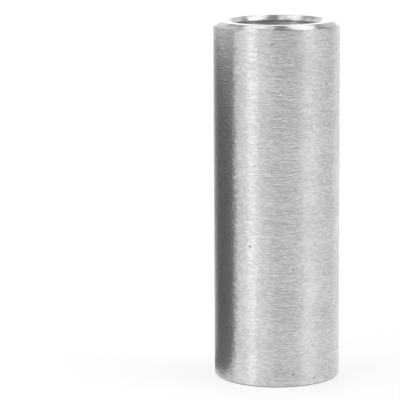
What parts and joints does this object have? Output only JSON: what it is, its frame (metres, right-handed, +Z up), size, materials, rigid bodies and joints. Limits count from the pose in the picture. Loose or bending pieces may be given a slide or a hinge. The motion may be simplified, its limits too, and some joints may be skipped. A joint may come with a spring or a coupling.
{
  "type": "spacer sleeve",
  "caption": "Plain round turned steel tube that slides over a bolt or shaft and holds two faces a set distance apart; chamfered at its upper end and at both mouths of its bore.",
  "frame": {"origin": "centre of the bottom end, on the surface that the sleeve stands on", "axes": "+Z up along the bore's axis, from the end with the fine edge break to the chamfered end; X and Y are free, because the sleeve is round"},
  "size_m": [0.014, 0.014, 0.04],
  "materials": {
    "steel": "bare stainless steel: fine-ground outside, satin faced ends, bright cut chamfers, drilled bore with visible tool marks"
  },
  "bodies": {
    "root": {"sleeve": "steel"}
  },
  "joints": []
}
